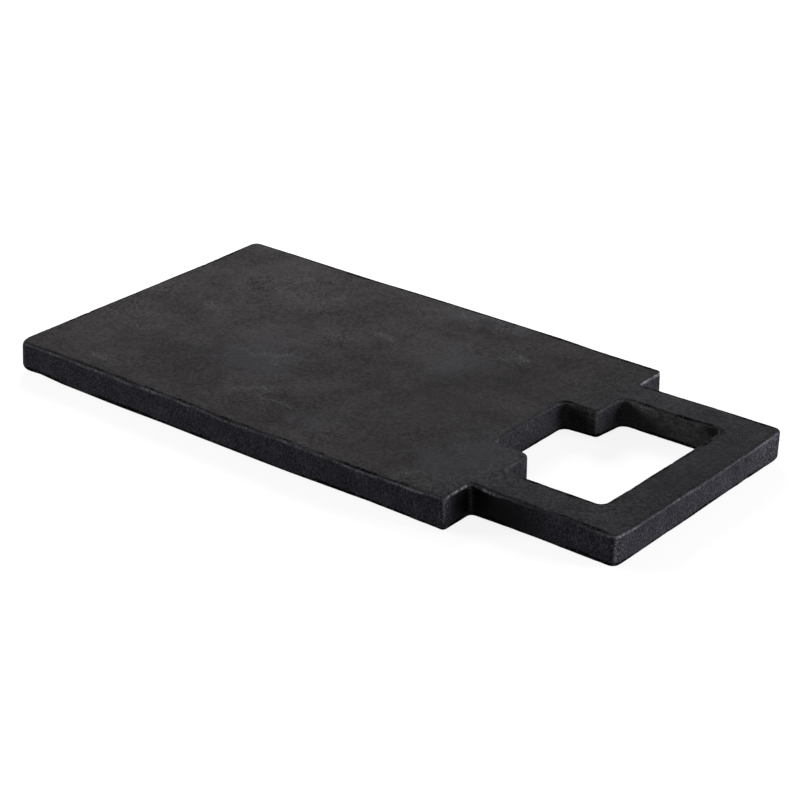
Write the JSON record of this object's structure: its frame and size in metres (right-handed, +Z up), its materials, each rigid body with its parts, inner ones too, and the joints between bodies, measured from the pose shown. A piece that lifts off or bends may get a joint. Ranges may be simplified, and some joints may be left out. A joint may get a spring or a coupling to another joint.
{
  "type": "marble serving board",
  "caption": "Flat rectangular serving board of dark honed marble with a narrower frame handle, a stepped hand opening through it and low rubber feet underneath.",
  "frame": {"origin": "on the table, under the middle of the board's overall length and width", "axes": "+X along the board toward the handle, +Z up out of the serving face, -Y the long side nearer the camera in the picture"},
  "size_m": [0.457, 0.232, 0.022],
  "materials": {
    "marble": "honed, satin, with eased and slightly worn edges",
    "rubber": "matt, moulded",
    "adhesive": "matt die-cut adhesive film"
  },
  "bodies": {
    "root": {"marble_slab": "marble", "foot_plain_near": "rubber", "foot_plain_far": "rubber", "foot_handle_near": "rubber", "foot_handle_far": "rubber", "adhesive_plain_near": "adhesive", "adhesive_plain_far": "adhesive", "adhesive_handle_near": "adhesive", "adhesive_handle_far": "adhesive"}
  },
  "joints": []
}
